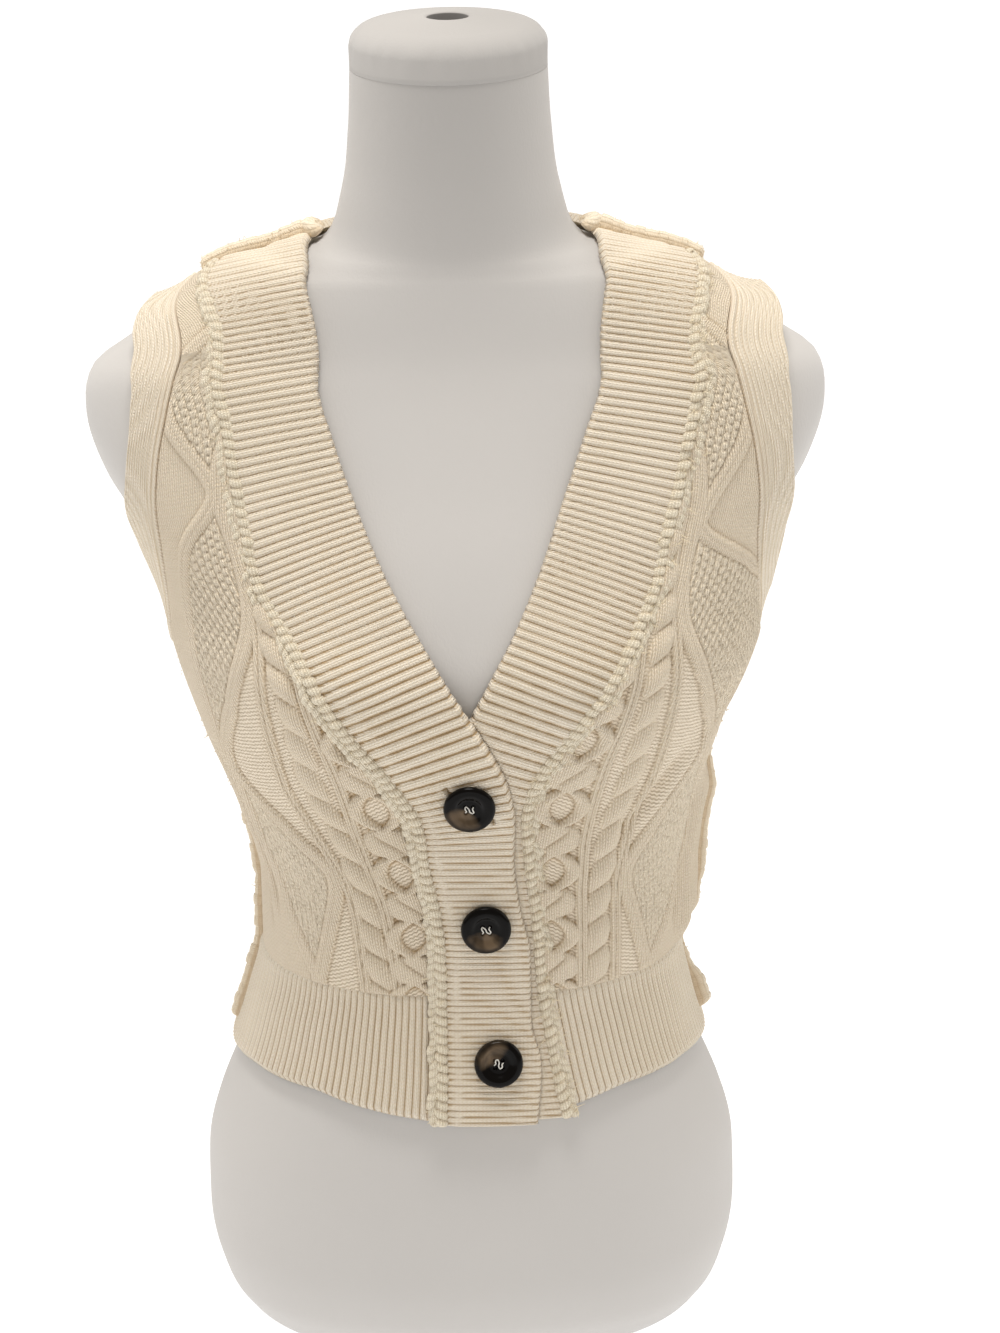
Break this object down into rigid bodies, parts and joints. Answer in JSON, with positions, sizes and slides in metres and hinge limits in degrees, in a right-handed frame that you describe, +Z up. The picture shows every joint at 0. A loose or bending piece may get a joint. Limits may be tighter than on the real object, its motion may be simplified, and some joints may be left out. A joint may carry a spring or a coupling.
{
  "type": "knitted sweater vest on a dress form",
  "caption": "Cropped sleeveless cable-knit cardigan vest with a deep V neck, ribbed bands and round buttons, worn on a limbless dress form.",
  "frame": {"origin": "on the surface that the dress form stands on, below the middle of the form's neck", "axes": "+Z up, front towards -Y, the wearer's left towards +X"},
  "size_m": [0.3782, 0.2287, 0.7176],
  "materials": {
    "jersey": "smooth white jersey drawn tight over the form",
    "cap_jersey": "the same white jersey over a flat cap",
    "cable_knit": "cream wool knit with raised cables",
    "rib_knit": "cream wool rib knit",
    "linked_seam": "raised linked seam in the same yarn",
    "horn": "polished dark horn look"
  },
  "bodies": {
    "root": {"dress_form": "jersey", "neck_cap": "cap_jersey", "front_panel_right": "cable_knit", "front_panel_left": "cable_knit", "back_panel": "cable_knit", "hem_rib_front_right": "rib_knit", "hem_rib_front_left": "rib_knit", "hem_rib_back": "rib_knit", "front_band_right": "rib_knit", "front_band_left": "rib_knit", "back_neck_band": "rib_knit", "armhole_band_right": "rib_knit", "armhole_band_left": "rib_knit", "band_seam_right": "linked_seam", "band_seam_left": "linked_seam", "shoulder_seam_right": "linked_seam", "shoulder_seam_left": "linked_seam", "side_seam_right": "linked_seam", "side_seam_left": "linked_seam", "button_top": "horn", "button_middle": "horn", "button_bottom": "horn"}
  },
  "joints": []
}
